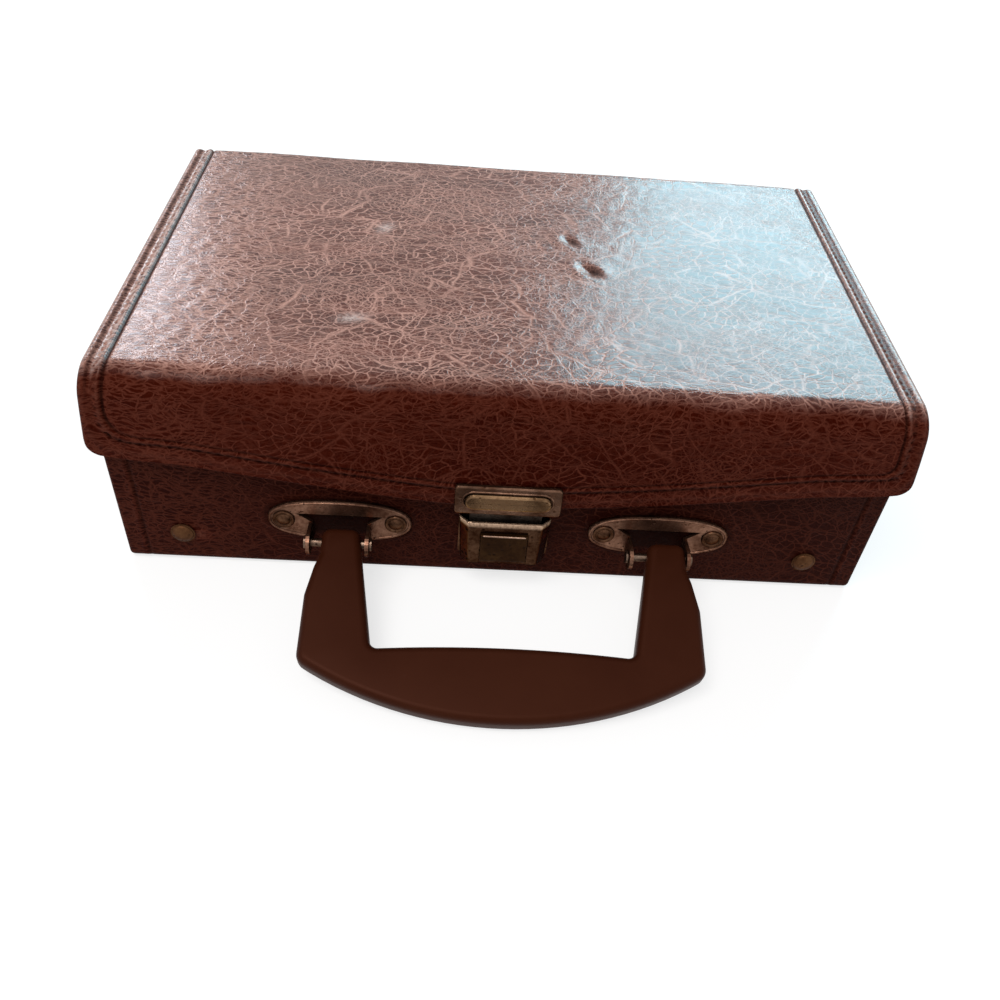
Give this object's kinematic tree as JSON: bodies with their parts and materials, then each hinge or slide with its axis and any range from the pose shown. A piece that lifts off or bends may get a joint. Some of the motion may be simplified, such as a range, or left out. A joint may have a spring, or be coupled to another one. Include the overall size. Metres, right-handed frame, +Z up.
{
  "type": "cassette tape case",
  "caption": "Leatherette-covered cassette case with a hinged lid, a latch with a release slide, a flat carrying handle on brackets and moulded trays inside.",
  "frame": {"origin": "middle of the underside of the base", "axes": "+X to the right seen from the front, +Y to the back, +Z up"},
  "size_m": [0.2574, 0.2198, 0.08],
  "materials": {
    "leatherette": "grained, satin, rubbed paler on top",
    "fibreboard": "plain pressed board",
    "lining": "matt paper-backed lining",
    "tray_plastic": "moulded, matt",
    "foam": "soft, matt",
    "handle_plastic": "moulded, satin",
    "nickel": "dull plating with brown patina",
    "brass": "dull brass",
    "steel": "plain steel"
  },
  "bodies": {
    "base": {"base_board": "fibreboard", "base_cover": "leatherette", "base_end_left": "leatherette", "base_end_right": "leatherette", "base_liner": "lining", "tray_left": "tray_plastic", "tray_right": "tray_plastic", "lock_back_plate": "steel", "lock_case": "nickel", "catch_leaf": "steel", "lock_backing": "steel", "bracket_left": "nickel", "bracket_right": "nickel", "bracket_backing_left": "steel", "bracket_backing_right": "steel", "rivet_left_inner": "nickel", "rivet_left_outer": "nickel", "rivet_right_inner": "nickel", "rivet_right_outer": "nickel", "handle_pin_left": "steel", "handle_pin_right": "steel", "stud_left": "brass", "stud_right": "brass"},
    "lid": {"lid_board": "fibreboard", "lid_cover": "leatherette", "lid_end_left": "leatherette", "lid_end_right": "leatherette", "lid_pad": "foam", "hasp_plate": "nickel", "hasp_bar": "brass", "hasp_tongue": "steel"},
    "handle": {"handle": "handle_plastic"},
    "release": {"lock_slide": "nickel", "slide_spring": "steel"}
  },
  "joints": [
    {"name": "lid_hinge", "type": "hinge", "parent": "base", "child": "lid", "pos_m": [0, 0.07695, 0.0543], "axis": [-1, 0, 0], "range_deg": [0, 175]},
    {"name": "handle_swing", "type": "hinge", "parent": "base", "child": "handle", "pos_m": [0.0017, -0.08485, 0.0197], "axis": [-1, 0, 0], "range_deg": [-75, 95]},
    {"name": "release_slide", "type": "slide", "parent": "base", "child": "release", "axis": [0, 0, -1], "range_m": [0, 0.002], "stiffness_N_per_m": 400, "deforming": ["slide_spring"]}
  ]
}
